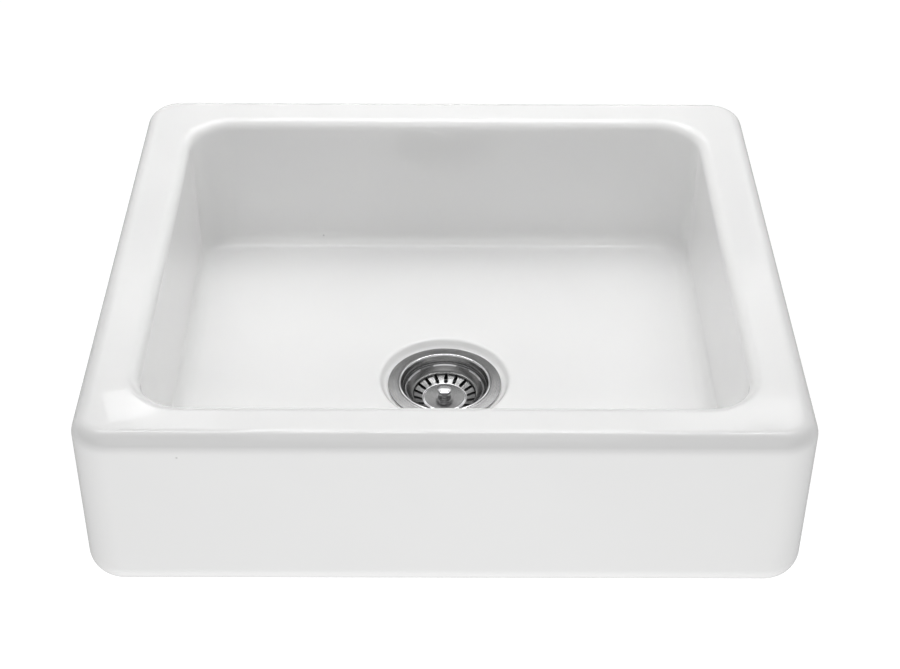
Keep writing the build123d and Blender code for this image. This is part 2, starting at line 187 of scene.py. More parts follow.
def finish_mesh(piece, sharp_degrees):
    """Turns the normals outwards and keeps only the edges sharper than an angle hard."""
    build = bmesh.new()
    build.from_mesh(piece.data)
    bmesh.ops.remove_doubles(build, verts=build.verts, dist=WELD)
    bmesh.ops.recalc_face_normals(build, faces=build.faces)
    build.to_mesh(piece.data)
    build.free()
    piece.data.shade_smooth()
    piece.data.set_sharp_from_angle(angle=math.radians(sharp_degrees))


def turned(u, v, angle):
    """A point turned round the origin."""
    return u * math.cos(angle) - v * math.sin(angle), u * math.sin(angle) + v * math.cos(angle)


def ring(half_x, half_y, corner, z, centre_y=0.0):
    """RING_COUNT points round a rounded rectangle, anticlockwise from the middle of its +X side."""
    points = []
    for quarter in range(4):
        along_x = quarter % 2 == 1
        reach, side = (half_y, half_x) if along_x else (half_x, half_y)
        local = [(reach, (side - corner) * i / SIDE_STEPS) for i in range(SIDE_STEPS)]
        for i in range(CORNER_STEPS):
            angle = math.pi / 2 * i / CORNER_STEPS
            x, y = corner * math.cos(angle), corner * math.sin(angle)
            local.append((reach - corner + x, side - corner + y))
        local += [((reach - corner) * (1 - i / SIDE_STEPS), side) for i in range(SIDE_STEPS)]
        for u, v in local:
            x, y = turned(u, v, math.pi / 2 * quarter)
            points.append(Vector((x, y + centre_y, z)))
    return points


def circle(radius, z):
    """As many points as ring() gives, on a circle round the drain."""
    turns = [2 * math.pi * i / RING_COUNT for i in range(RING_COUNT)]
    return [Vector((radius * math.cos(t), radius * math.sin(t), z)) for t in turns]


def between(first, second, share):
    """The ring that lies a share of the way from one ring to another."""
    return [a.lerp(b, share) for a, b in zip(first, second)]


def arc(start, end, centre, steps):
    """Points of a quarter turn from start to end round a centre, without the first."""
    first = math.atan2(start[1] - centre[1], start[0] - centre[0])
    last = math.atan2(end[1] - centre[1], end[0] - centre[0])
    if last - first > math.pi:
        last -= 2 * math.pi
    if first - last > math.pi:
        last += 2 * math.pi
    radius = math.hypot(start[0] - centre[0], start[1] - centre[1])
    angles = [first + (last - first) * i / steps for i in range(1, steps + 1)]
    return [(centre[0] + radius * math.cos(a), centre[1] + radius * math.sin(a)) for a in angles]


def curve_point(first, control, last, share):
    """A point of the quadratic curve from first to last."""
    return tuple(first * (1 - share) ** 2 + control * (2 * share * (1 - share)) + last * share * share)


def bend(points, radius, closed=True):
    """Rounds the corners of a profile; a corner's radius shrinks where its sides are short."""
    soft = []
    count = len(points)
    for i, corner in enumerate(points):
        if not closed and i in (0, count - 1):
            soft.append(corner)
            continue
        here = Vector(corner)
        to_last = Vector(points[i - 1]) - here
        to_next = Vector(points[(i + 1) % count]) - here
        reach = min(radius, BEND_SHARE * to_last.length, BEND_SHARE * to_next.length)
        first = here + to_last.normalized() * reach
        last = here + to_next.normalized() * reach
        soft += [curve_point(first, here, last, k / BEND_STEPS) for k in range(BEND_STEPS + 1)]
    return soft


def far_side(points, thickness):
    """The other face of a sheet drawn through (r, z) points: each corner moves by its mitre."""
    vectors = [Vector(p) for p in points]
    runs = [(b - a).normalized() for a, b in zip(vectors, vectors[1:])]
    normals = [Vector((-run.y, run.x)) for run in runs]
    moved = []
    for i, point in enumerate(vectors):
        before = normals[max(i - 1, 0)]
        after = normals[min(i, len(normals) - 1)]
        mitre = (before + after).normalized()
        moved.append(tuple(point + mitre * (thickness / mitre.dot(after))))
    return moved


def lathe(name, profile, steps=LATHE_STEPS):
    """Turns a closed (r, z) profile round the drain's axis."""
    points = []
    for i in range(steps):
        turn = 2 * math.pi * i / steps
        points += [(r * math.cos(turn), r * math.sin(turn), z) for r, z in profile]
    count = len(profile)
    faces = []
    for i in range(steps):
        j = (i + 1) % steps
        for k in range(count):
            m = (k + 1) % count
            faces.append((i * count + k, j * count + k, j * count + m, i * count + m))
    piece = mesh_from(name, points, faces)
    build = bmesh.new()
    build.from_mesh(piece.data)
    bmesh.ops.remove_doubles(build, verts=build.verts, dist=WELD)
    bmesh.ops.dissolve_degenerate(build, edges=build.edges, dist=SLIVER)
    bmesh.ops.recalc_face_normals(build, faces=build.faces)
    build.to_mesh(piece.data)
    build.free()
    return piece


def slot_outline(inner, outer, width):
    """A slot with round ends along +X, as seen from above."""
    radius = width / 2
    outline = []
    for centre, first in ((outer - radius, -math.pi / 2), (inner + radius, math.pi / 2)):
        for k in range(SLOT_END_STEPS + 1):
            angle = first + math.pi * k / SLOT_END_STEPS
            outline.append((centre + radius * math.cos(angle), radius * math.sin(angle)))
    return outline


def slot_cutter(outline, count, first_degrees, low, high):
    """Prisms of a slot's outline, spread evenly round the drain's axis, as one mesh."""
    points = []
    faces = []
    size = len(outline)
    for i in range(count):
        turn = math.radians(first_degrees + 360 * i / count)
        start = len(points)
        for z in (low, high):
            points += [(*turned(u, v, turn), z) for u, v in outline]
        faces.append(tuple(start + k for k in reversed(range(size))))
        faces.append(tuple(start + size + k for k in range(size)))
        for k in range(size):
            m = (k + 1) % size
            faces.append((start + k, start + m, start + size + m, start + size + k))
    return mesh_from("slot_cutter", points, faces)


def cut(piece, cutter):
    """Takes the cutter out of the piece and removes the cutter."""
    modifier = piece.modifiers.new("slots", "BOOLEAN")
    modifier.operation = "DIFFERENCE"
    modifier.solver = "EXACT"
    modifier.object = cutter
    bpy.context.view_layer.update()
    graph = bpy.context.evaluated_depsgraph_get()
    result = bpy.data.meshes.new_from_object(piece.evaluated_get(graph))
    piece.modifiers.clear()
    piece.data = result
    bpy.data.objects.remove(cutter)


def coat(piece, finish):
    """Gives the whole piece one finish."""
    piece.data.materials.clear()
    piece.data.materials.append(finish)


def highlight_band(piece, finish, inner, outer, low, high):
    """Paints a highlight: gives the faces between two radii and two levels a second, lighter finish."""
    if finish.name not in piece.data.materials:
        piece.data.materials.append(finish)
    for face in piece.data.polygons:
        radius = face.center.xy.length / MM
        level = face.center.z / MM
        if inner < radius < outer and low < level < high:
            face.material_index = 1


# ---- the basin ----
def outer_ring(inset, z):
    """A ring a given way inside the block's outline."""
    corner = max(OUTER_CORNER - inset, SMALLEST_CORNER)
    return ring(SINK_HALF_X - inset, SINK_HALF_Y - inset, corner, z, SINK_CENTRE_Y)


def bowl_ring(inset, z):
    """A ring a given way inside the bowl's upper outline, or outside it where the inset is negative."""
    corner = max(BOWL_CORNER - inset, SMALLEST_CORNER)
    half_x = SINK_HALF_X - RIM_WIDTH - inset
    half_y = SINK_HALF_Y - RIM_WIDTH - inset
    return ring(half_x, half_y, corner, z, SINK_CENTRE_Y)


def floor_z(x, y):
    """The floor is level beside the walls and falls gently towards the drain."""
    share = min(max((FALL_R - math.hypot(x, y)) / (FALL_R - RECESS_END_R), 0.0), 1.0)
    return FLOOR_Z - FLOOR_FALL * share * share * (3 - 2 * share)


def underside_rings():
    """From the drain hole outwards, down the step of the foot ring and across the foot."""
    half_x, half_y = SINK_HALF_X - FOOT_WIDTH, SINK_HALF_Y - FOOT_WIDTH
    step = ring(half_x, half_y, FOOT_STEP_CORNER, FOOT_RISE, SINK_CENTRE_Y)
    hole = circle(HOLE_R, FOOT_RISE)
    rings = [between(hole, step, i / UNDERSIDE_STEPS) for i in range(UNDERSIDE_STEPS)]
    rings.append(step)
    rings.append([Vector((p.x, p.y, FOOT_CHAMFER)) for p in step])
    rings.append(outer_ring(FOOT_WIDTH - FOOT_CHAMFER, 0.0))
    rings.append(outer_ring(FOOT_EDGE + WALL_BAND, 0.0))
    rings.append(outer_ring(FOOT_EDGE, 0.0))
    return rings


def outside_rings():
    """Round the foot's edge, up the outside, and over the rim's outer edge onto the rim."""
    shoulder = SINK_TOP - RIM_EDGE
    foot = arc((FOOT_EDGE, 0.0), (0.0, FOOT_EDGE), (FOOT_EDGE, FOOT_EDGE), FOOT_STEPS)
    rings = [outer_ring(inset, z) for inset, z in foot]
    levels = (FOOT_EDGE + WALL_BAND, SINK_TOP / 2, shoulder - WALL_BAND, shoulder)
    rings += [outer_ring(0.0, z) for z in levels]
    edge = arc((0.0, shoulder), (RIM_EDGE, SINK_TOP), (RIM_EDGE, shoulder), EDGE_STEPS)
    rings += [outer_ring(inset, z) for inset, z in edge]
    rings.append(outer_ring(RIM_EDGE + RIM_BAND, SINK_TOP))
    return rings


def bowl_rings():
    """Across the rim, over the bowl's lip, down its walls, round the floor's fillet and in to the recess."""
    lip_foot = SINK_TOP - LIP
    wall_foot = FLOOR_Z + FLOOR_FILLET
    rings = [bowl_ring(-LIP - RIM_BAND, SINK_TOP), bowl_ring(-LIP, SINK_TOP)]
    lip = arc((-LIP, SINK_TOP), (0.0, lip_foot), (-LIP, lip_foot), EDGE_STEPS)
    rings += [bowl_ring(inset, z) for inset, z in lip]
    for z in (lip_foot - WALL_BAND, (SINK_TOP + FLOOR_Z) / 2, wall_foot + WALL_BAND, wall_foot):
        rings.append(bowl_ring((lip_foot - z) * WALL_DRAFT, z))
    foot_in = (lip_foot - wall_foot) * WALL_DRAFT
    fillet_in = foot_in + FLOOR_FILLET
    fillet = arc((foot_in, wall_foot), (fillet_in, FLOOR_Z), (fillet_in, wall_foot), EDGE_STEPS)
    rings += [bowl_ring(inset, z) for inset, z in fillet]
    floor_start = bowl_ring(fillet_in, FLOOR_Z)
    floor_end = circle(RECESS_END_R, FLOOR_Z)
    for i in range(1, FLOOR_STEPS + 1):
        flat = between(floor_start, floor_end, (i / FLOOR_STEPS) ** FLOOR_CROWD)
        rings.append([Vector((p.x, p.y, floor_z(p.x, p.y))) for p in flat])
    return rings


def recess_rings():
    """Down the recess's slope, which thick glaze has softened, across its seat and into the drain hole."""
    slope = [
        (RECESS_END_R, RECESS_TOP_Z),
        (RECESS_LIP_R, RECESS_TOP_Z),
        (RECESS_FOOT_R, RECESS_SEAT_Z),
        (RECESS_SEAT_R, RECESS_SEAT_Z),
    ]
    rings = [circle(r, z) for r, z in bend(slope, RECESS_EASE, closed=False)[1:]]
    edge_start = (HOLE_R + HOLE_EDGE, RECESS_SEAT_Z)
    edge_end = (HOLE_R, RECESS_SEAT_Z - HOLE_EDGE)
    edge_centre = (HOLE_R + HOLE_EDGE, RECESS_SEAT_Z - HOLE_EDGE)
    rings.append(circle(*edge_start))
    rings += [circle(r, z) for r, z in arc(edge_start, edge_end, edge_centre, HOLE_STEPS)]
    return rings


def build_basin(glaze, clay):
    """The basin as one closed skin of rings. Its underside and the lowest part of its edge are bare clay."""
    underside = underside_rings()
    rings = underside + outside_rings() + bowl_rings() + recess_rings()
    bare_faces = (len(underside) - 1 + BARE_STEPS) * RING_COUNT
    faces = []
    for row in range(len(rings)):
        here = row * RING_COUNT
        after = (row + 1) % len(rings) * RING_COUNT
        for i in range(RING_COUNT):
            j = (i + 1) % RING_COUNT
            faces.append((here + i, here + j, after + j, after + i))
    piece = mesh_from("basin", [p for one in rings for p in one], faces)
    piece.data.materials.append(glaze)
    piece.data.materials.append(clay)
    for face in piece.data.polygons:
        face.material_index = 1 if face.index < bare_faces else 0
    finish_mesh(piece, sharp_degrees=50)
    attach(piece, "basin")
    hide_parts("sink_body")


# ---- the strainer cup ----
CUP_EASE = 0.9
# Radius and drop along the cup's wet side; a negative drop is above the flange's edge.
CUP_LINE = [
    (FLANGE_R, 0.0),  # the flange's edge
    (47.6, -0.7),  # the flange steepens
    (46.1, -1.45),
    (45.2, -1.7),  # the top of the raised lip
    (44.4, -1.35),
    (43.7, 0.0),  # the mouth
    (42.4, 3.2),
    (41.7, 3.9),
    (40.5, LEDGE_DROP),  # the ledge that carries the basket's rim
    (38.4, LEDGE_DROP),
    (37.2, SEAT_DROP),  # the tapered seat of the rubber seal
    (30.5, THROAT_DROP),
    (26.5, CUP_FLOOR_DROP),  # the slotted floor
    (4.3, CUP_FLOOR_DROP),  # the clamp screw's hole
]
# Painted highlight on the raised lip: inner and outer radius, lowest and highest level
CUP_LIP_HIGHLIGHT = (43.9, 46.0, EDGE_Z + 0.4, EDGE_Z + 2.0)


def cup_profile():
    """The closed section of the cup's sheet."""
    line = [(r, EDGE_Z - drop) for r, drop in CUP_LINE]
    back = far_side(line, SHEET)
    back[0] = (FLANGE_R, EDGE_Z - SHEET)
    return bend(line + back[::-1], CUP_EASE)


def build_cup(steel, polished):
    """The pressed cup with its slotted floor, its brushed flange darkened as painted shade, and a painted
    highlight on its lip.
    """
    piece = lathe("drain_cup", cup_profile())
    floor = EDGE_Z - CUP_FLOOR_DROP
    outline = slot_outline(CUP_SLOT_INNER, CUP_SLOT_OUTER, CUP_SLOT_WIDTH)
    cut(piece, slot_cutter(outline, CUP_SLOTS, 0, floor - CUT_REACH, floor + CUT_REACH))
    finish_mesh(piece, sharp_degrees=40)
    coat(piece, steel)
    # Painted highlight: the lip gets the knob's lighter, shinier finish.
    highlight_band(piece, polished, *CUP_LIP_HIGHLIGHT)
    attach(piece, "basin")
    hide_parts("strainer_cup")


# ---- the basket ----
BASKET_EASE = 0.5
ROLL_R = BASKET_RIM_R - BASKET_SHEET
ROLL_Z = EDGE_Z - LEDGE_DROP + BASKET_GAP + BASKET_SHEET
# Radius and drop of the concave band under the rim, at its middle and its end
BAND_MIDDLE = (34.9, 10.4)
BAND_END = (32.0, SHOULDER_DROP)
# Radius and drop along the rest of the basket's wet side
BASKET_LINE = [
    (31.4, 12.8),  # the shoulder
    (31.0, 15.3),  # the foot of the steep step
    (21.9, 18.9),  # the lowest part of the conical well
    (20.9, DISC_DROP),  # the raised disc
    (STEM_HOLE_R, DISC_DROP),
]
# Painted highlights on the rim and on the edge of the disc: inner and outer radius, lowest and highest level
BASKET_RIM_HIGHLIGHT = (BASKET_RIM_R - 1.7, BASKET_RIM_R + 0.1, EDGE_Z - 8.3, EDGE_Z - 6.0)
BASKET_DISC_HIGHLIGHT = (20.3, 22.3, EDGE_Z - 19.2, EDGE_Z - 17.9)


def concave_band():
    """Points from the top of the rolled rim down to the shoulder, through the band's middle."""
    start = Vector((ROLL_R, ROLL_Z + BASKET_SHEET))
    middle = Vector((BAND_MIDDLE[0], EDGE_Z - BAND_MIDDLE[1]))
    end = Vector((BAND_END[0], EDGE_Z - BAND_END[1]))
    control = middle * 2 - (start + end) / 2
    return [curve_point(start, control, end, k / CURVE_STEPS) for k in range(CURVE_STEPS + 1)]


def basket_profile():
    """The closed section of the basket's sheet, with the half round of its rolled rim."""
    line = concave_band() + [(r, EDGE_Z - drop) for r, drop in BASKET_LINE]
    back = far_side(line, BASKET_SHEET)
    turns = [math.pi / 2 - math.pi * k / ROLL_STEPS for k in range(1, ROLL_STEPS)]
    roll = [(ROLL_R + BASKET_SHEET * math.cos(a), ROLL_Z + BASKET_SHEET * math.sin(a)) for a in turns]
    return bend(line + back[:0:-1], BASKET_EASE) + [(ROLL_R, ROLL_Z - BASKET_SHEET)] + roll[::-1]


def build_basket(steel, polished):
    """The lift-out basket, slotted from its disc up to its shoulder."""
    piece = lathe("basket", basket_profile())
    outline = slot_outline(SLOT_INNER, SLOT_OUTER, SLOT_WIDTH)
    low = EDGE_Z - DISC_DROP - CUT_REACH
    cut(piece, slot_cutter(outline, SLOT_COUNT, 90 - SLOT_TURN, low, EDGE_Z - SHOULDER_DROP))
    finish_mesh(piece, sharp_degrees=35)
    coat(piece, steel)
    # Painted highlights: the rim and the edge of the disc get the knob's lighter, shinier finish.
    highlight_band(piece, polished, *BASKET_RIM_HIGHLIGHT)
    highlight_band(piece, polished, *BASKET_DISC_HIGHLIGHT)
    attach(piece, "basket")
    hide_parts("basket_cup")


# ---- the knob ----
KNOB_FOOT_R = 6.7
KNOB_FOOT_HEIGHT = 1.0
KNOB_HEAD_R = 7.1
KNOB_HEAD_BAND = 1.6
KNOB_BEVEL = 0.35
KNOB_DOME = 1.6
KNOB_CAP_R = 6.8
# The waist draws in by KNOB_PINCH at most, and ends at the share KNOB_PINCH_END of the shank's height.
KNOB_PINCH = 0.9
KNOB_PINCH_END = 0.9
KNOB_PINCH_POWER = 0.8
KNOB_STEPS = 12
KNOB_BORE_STOP = 2.0
KNOB_EASE = 0.3


def knob_profile():
    """A waisted shank under a low domed head, with the stem's bore from below."""
    low = knob_low.z
    top = knob_high.z
    waist_low = low + KNOB_FOOT_HEIGHT
    waist_high = top - KNOB_DOME - KNOB_HEAD_BAND
    side = [(STEM_HOLE_R, low), (KNOB_FOOT_R, low), (KNOB_FOOT_R, waist_low)]
    for k in range(1, KNOB_STEPS):
        t = k / KNOB_STEPS
        pinch = KNOB_PINCH * math.sin(math.pi * min(t / KNOB_PINCH_END, 1.0)) ** KNOB_PINCH_POWER
        radius = KNOB_FOOT_R + (KNOB_HEAD_R - KNOB_FOOT_R) * t - pinch
        side.append((radius, waist_low + (waist_high - waist_low) * t))
    side.append((KNOB_HEAD_R, waist_high))
    side.append((KNOB_HEAD_R, top - KNOB_DOME - KNOB_BEVEL))
    dome_r = (KNOB_HEAD_R**2 + KNOB_DOME**2) / (2 * KNOB_DOME)
    radii = [KNOB_CAP_R * (1 - k / KNOB_STEPS) for k in range(KNOB_STEPS)]
    cap = [(r, top - dome_r + math.sqrt(dome_r**2 - r**2)) for r in radii]
    bore = [(0.0, top), (0.0, top - KNOB_BORE_STOP), (STEM_HOLE_R, top - KNOB_BORE_STOP)]
    return bend(side, KNOB_EASE, closed=False) + cap + bore


def build_knob(steel):
    """The turned knob on the basket's stem."""
    piece = lathe("knob", knob_profile(), KNOB_LATHE_STEPS)
    finish_mesh(piece, sharp_degrees=35)
    coat(piece, steel)
    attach(piece, "basket")
    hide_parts("basket_knob")


# ---- material helpers; places are in metres ----
def material(name):
    """A new node material, its tree and its shader."""
    made = bpy.data.materials.new(name)
    made.use_nodes = True
    tree = made.node_tree
    return made, tree, tree.nodes["Principled BSDF"]


def object_place(tree):
    """Position on the object."""
    return tree.nodes.new("ShaderNodeTexCoord").outputs["Object"]


def noise(tree, where, scale, detail):
    """A cloudy value from 0 to 1."""
    node = tree.nodes.new("ShaderNodeTexNoise")
    node.inputs["Scale"].default_value = scale
    node.inputs["Detail"].default_value = detail
    tree.links.new(where, node.inputs["Vector"])
    return node.outputs["Fac"]


def spread(tree, value, low, high):
    """Maps a value from 0..1 to low..high."""
    node = tree.nodes.new("ShaderNodeMapRange")
    node.inputs["To Min"].default_value = low
    node.inputs["To Max"].default_value = high
    tree.links.new(value, node.inputs["Value"])
    return node.outputs["Result"]


def tint(tree, value, first, second):
    """A colour between two colours."""
    node = tree.nodes.new("ShaderNodeMix")
    node.data_type = "RGBA"
    node.inputs["A"].default_value = (*first, 1.0)
    node.inputs["B"].default_value = (*second, 1.0)
    tree.links.new(value, node.inputs["Factor"])
    return node.outputs["Result"]


def bump(tree, height, strength, distance, normal=None):
    """A normal that follows a height, on top of another normal if one is given."""
    node = tree.nodes.new("ShaderNodeBump")
    node.inputs["Strength"].default_value = strength
    node.inputs["Distance"].default_value = distance
    tree.links.new(height, node.inputs["Height"])
    if normal is not None:
        tree.links.new(normal, node.inputs["Normal"])
    return node.outputs["Normal"]


def distance_from(tree, place, centre):
    """Distance of a place from a fixed point."""
    node = tree.nodes.new("ShaderNodeVectorMath")
    node.operation = "DISTANCE"
    node.inputs[1].default_value = centre
    tree.links.new(place, node.inputs[0])
    return node.outputs["Value"]


def multiply(tree, first, second):
    """The product of two values."""
    node = tree.nodes.new("ShaderNodeMath")
    node.operation = "MULTIPLY"
    tree.links.new(first, node.inputs[0])
    tree.links.new(second, node.inputs[1])
    return node.outputs["Value"]


def turned_place(tree, place):
    """Distance from the drain's axis and height, on which a noise draws rings round the axis."""
    split = tree.nodes.new("ShaderNodeSeparateXYZ")
    tree.links.new(place, split.inputs["Vector"])
    flat = tree.nodes.new("ShaderNodeCombineXYZ")
    tree.links.new(split.outputs["X"], flat.inputs["X"])
    tree.links.new(split.outputs["Y"], flat.inputs["Y"])
    length = tree.nodes.new("ShaderNodeVectorMath")
    length.operation = "LENGTH"
    tree.links.new(flat.outputs["Vector"], length.inputs[0])
    polar = tree.nodes.new("ShaderNodeCombineXYZ")
    tree.links.new(length.outputs["Value"], polar.inputs["X"])
    tree.links.new(split.outputs["Z"], polar.inputs["Y"])
    return polar.outputs["Vector"]


# ---- materials ----
# Two pinholes in the glaze, on the apron near its left edge and in the rounding behind the bowl's floor
PINHOLES = [(-0.2248, -0.278, 0.1535), (-0.134, 0.2377, 0.0301)]
PINHOLE_R = 0.0014
PINHOLE_CORE = 0.3
PINHOLE_TONE = 0.72


def pinhole(tree, place, centre, colour):
    """Darkens a colour inside a small ball round a point on the object."""
    fade = tree.nodes.new("ShaderNodeMapRange")
    fade.inputs["From Min"].default_value = PINHOLE_CORE * PINHOLE_R
    fade.inputs["From Max"].default_value = PINHOLE_R
    fade.inputs["To Min"].default_value = PINHOLE_TONE
    fade.inputs["To Max"].default_value = 1.0
    tree.links.new(distance_from(tree, place, centre), fade.inputs["Value"])
    scale = tree.nodes.new("ShaderNodeVectorMath")
    scale.operation = "SCALE"
    tree.links.new(colour, scale.inputs[0])
    tree.links.new(fade.outputs["Result"], scale.inputs["Scale"])
    return scale.outputs["Vector"]


def glaze_material():
    """White glaze: glossy, with a slight cloud, a long wave and a fine peel."""
    made, tree, shader = material("white_glaze")
    place = object_place(tree)
    cloud = noise(tree, place, scale=9.0, detail=2.0)
    colour = tint(tree, cloud, (0.86, 0.86, 0.857), (0.89, 0.89, 0.887))
    for centre in PINHOLES:
        colour = pinhole(tree, place, centre, colour)
    tree.links.new(colour, shader.inputs["Base Color"])
    smear = noise(tree, place, scale=26.0, detail=3.0)
    tree.links.new(spread(tree, smear, 0.006, 0.018), shader.inputs["Roughness"])
    shader.inputs["IOR"].default_value = 1.52
    long_wave = noise(tree, place, scale=14.0, detail=1.0)
    fine_peel = noise(tree, place, scale=420.0, detail=2.0)
    wave = bump(tree, long_wave, strength=0.06, distance=0.0006)
    peel = bump(tree, fine_peel, strength=0.04, distance=0.00005, normal=wave)
    tree.links.new(peel, shader.inputs["Normal"])
    return made


def clay_material():
    """Fired clay without glaze, matt and grainy."""
    made, tree, shader = material("bare_clay")
    grain = noise(tree, object_place(tree), scale=900.0, detail=4.0)
    tree.links.new(tint(tree, grain, (0.70, 0.66, 0.58), (0.80, 0.77, 0.70)), shader.inputs["Base Color"])
    tree.links.new(spread(tree, grain, 0.75, 0.9), shader.inputs["Roughness"])
    tree.links.new(bump(tree, grain, strength=0.35, distance=0.0003), shader.inputs["Normal"])
    return made


# The marks' share in a metal's colour, and the factors between which they vary its roughness
MARK_SHARE = 0.6
ROUGH_SPREAD = (0.8, 1.25)


def metal_material(name, light, dark, rough, mark_scale, mark_strength, anisotropy):
    """Turned metal whose fine marks run round the drain's axis, over a soft wave."""
    made, tree, shader = material(name)
    place = object_place(tree)
    marks = noise(tree, turned_place(tree, place), scale=mark_scale, detail=3.0)
    cloud = noise(tree, place, scale=60.0, detail=3.0)
    mixed = tree.nodes.new("ShaderNodeMath")
    mixed.operation = "MULTIPLY_ADD"
    mixed.inputs[1].default_value = MARK_SHARE
    tree.links.new(marks, mixed.inputs[0])
    tree.links.new(spread(tree, cloud, 0.0, 1.0 - MARK_SHARE), mixed.inputs[2])
    tree.links.new(tint(tree, mixed.outputs["Value"], dark, light), shader.inputs["Base Color"])
    roughness = spread(tree, marks, rough * ROUGH_SPREAD[0], rough * ROUGH_SPREAD[1])
    tree.links.new(roughness, shader.inputs["Roughness"])
    shader.inputs["Metallic"].default_value = 1.0
    shader.inputs["Anisotropic"].default_value = anisotropy
    tangent = tree.nodes.new("ShaderNodeTangent")
    tangent.direction_type = "RADIAL"
    tangent.axis = "Z"
    tree.links.new(tangent.outputs["Tangent"], shader.inputs["Tangent"])
    wave = bump(tree, noise(tree, place, scale=70.0, detail=1.0), strength=0.5, distance=0.0004)
    grain = bump(tree, marks, strength=mark_strength, distance=0.00002, normal=wave)
    tree.links.new(grain, shader.inputs["Normal"])
    return made


def brushed_steel_painted_shade():
    """The flange, the cup and most of the basket, in tones darkened as painted shade for the dark
    surroundings that steel reflects.
    """
    return metal_material(
        "brushed_steel_turned_painted_shade",
        # Painted shade: both tones are darker than bare steel.
        light=(0.37, 0.37, 0.37),
        dark=(0.14, 0.14, 0.14),
        rough=0.24,
        mark_scale=3400.0,
        mark_strength=0.25,
        anisotropy=0.8,
    )


def polished_and_highlight_steel():
    """The knob and the fasteners, and a painted highlight on the raised lip, the basket's rim and the edge
    of its disc.
    """
    return metal_material(
        "polished_steel_turned_and_highlight",
        light=(0.70, 0.70, 0.71),
        dark=(0.58, 0.58, 0.59),
        rough=0.06,
        mark_scale=1800.0,
        mark_strength=0.02,
        anisotropy=0.2,
    )


def spring_steel():
    """The split ring on the stem's tip."""
    return metal_material(
        "spring_steel",
        light=(0.52, 0.52, 0.54),
        dark=(0.42, 0.42, 0.44),
        rough=0.25,
        mark_scale=3000.0,
        mark_strength=0.1,
        anisotropy=0.3,
    )


def brass():
    """The threaded insert."""
    return metal_material(
        "machined_brass",
        light=(0.78, 0.60, 0.30),
        dark=(0.66, 0.48, 0.22),
        rough=0.22,
        mark_scale=4000.0,
        mark_strength=0.2,
        anisotropy=0.4,
    )


def moulded_material(name, light, dark, rough):
    """Moulded plastic, rubber or foam with a faint texture."""
    made, tree, shader = material(name)
    place = object_place(tree)
    cloud = noise(tree, place, scale=80.0, detail=3.0)
    tree.links.new(tint(tree, cloud, dark, light), shader.inputs["Base Color"])
    smear = noise(tree, place, scale=300.0, detail=2.0)
    tree.links.new(spread(tree, smear, rough - 0.05, rough + 0.08), shader.inputs["Roughness"])
    grain = noise(tree, place, scale=1500.0, detail=2.0)
    tree.links.new(bump(tree, grain, strength=0.15, distance=0.00005), shader.inputs["Normal"])
    return made


def dress_nodes(polished):
    """Gives each node that keeps its own shape its finish."""
    rubber = moulded_material("black_rubber", (0.035, 0.035, 0.037), (0.022, 0.022, 0.023), rough=0.55)
    foam = moulded_material("dark_foam", (0.12, 0.12, 0.12), (0.08, 0.08, 0.08), rough=0.8)
    dark_plastic = moulded_material("dark_plastic", (0.06, 0.06, 0.065), (0.04, 0.04, 0.043), rough=0.35)
    white_plastic = moulded_material("white_plastic", (0.82, 0.82, 0.80), (0.77, 0.77, 0.75), rough=0.35)
    finishes = {
        "basket_stem": polished,
        "stem_nut": polished,
        "clamp_screw": polished,
        "screw_washer": polished,
        "detent_ring": spring_steel(),
        "threaded_insert": brass(),
        "flange_seal": foam,
        "underside_gasket": rubber,
        "basket_seal": rubber,
        "outlet_washer": rubber,
        "seal_carrier": dark_plastic,
        "seal_retainer": dark_plastic,
        "waste_body": white_plastic,
        "outlet_nut": white_plastic,
        "tailpiece": white_plastic,
    }
    for node, finish in finishes.items():
        coat(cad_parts[node], finish)


# ---- floor and surroundings, in metres ----
FLOOR_GAP = 0.001
FLOOR_REACH = 30.0
FLOOR_GLOW = 1.03
# The floor glows more in a pool in front of the apron, and less in mirror images.
POOL_GLOW = 0.67
POOL_R = 1.1
POOL_CENTRE = (0.0, -0.9, 0.0)
MIRRORED_FLOOR = 0.36
STUDIO_GLOW = 0.18
SWEEP_START = 0.05
SWEEP_END = 0.12


def floor_material():
    """A pale, softly glowing floor, so that the sink stands on white."""
    made, tree, shader = material("studio_floor")
    place = object_place(tree)
    shader.inputs["Base Color"].default_value = (0.0, 0.0, 0.0, 1.0)
    shader.inputs["Roughness"].default_value = 1.0
    shader.inputs["Specular IOR Level"].default_value = 0.0
    cloud = noise(tree, place, scale=0.8, detail=2.0)
    whites = tint(tree, cloud, (0.985, 0.985, 0.985), (1.0, 1.0, 1.0))
    tree.links.new(whites, shader.inputs["Emission Color"])
    pool = tree.nodes.new("ShaderNodeMapRange")
    pool.interpolation_type = "SMOOTHSTEP"
    pool.inputs["From Min"].default_value = 0.0
    pool.inputs["From Max"].default_value = POOL_R
    pool.inputs["To Min"].default_value = FLOOR_GLOW + POOL_GLOW
    pool.inputs["To Max"].default_value = FLOOR_GLOW
    tree.links.new(distance_from(tree, place, POOL_CENTRE), pool.inputs["Value"])
    path = tree.nodes.new("ShaderNodeLightPath")
    seen = spread(tree, path.outputs["Is Glossy Ray"], 1.0, MIRRORED_FLOOR)
    tree.links.new(multiply(tree, pool.outputs["Result"], seen), shader.inputs["Emission Strength"])
    return made


def build_floor():
    """A wide floor just under the waste's lowest point."""
    reach = FLOOR_REACH / MM
    corners = [(-reach, -reach, 0.0), (reach, -reach, 0.0), (reach, reach, 0.0), (-reach, reach, 0.0)]
    floor = mesh_from("studio_floor", corners, [(0, 1, 2, 3)])
    floor.location.z = cad_low.z - FLOOR_GAP
    floor.data.materials.append(floor_material())


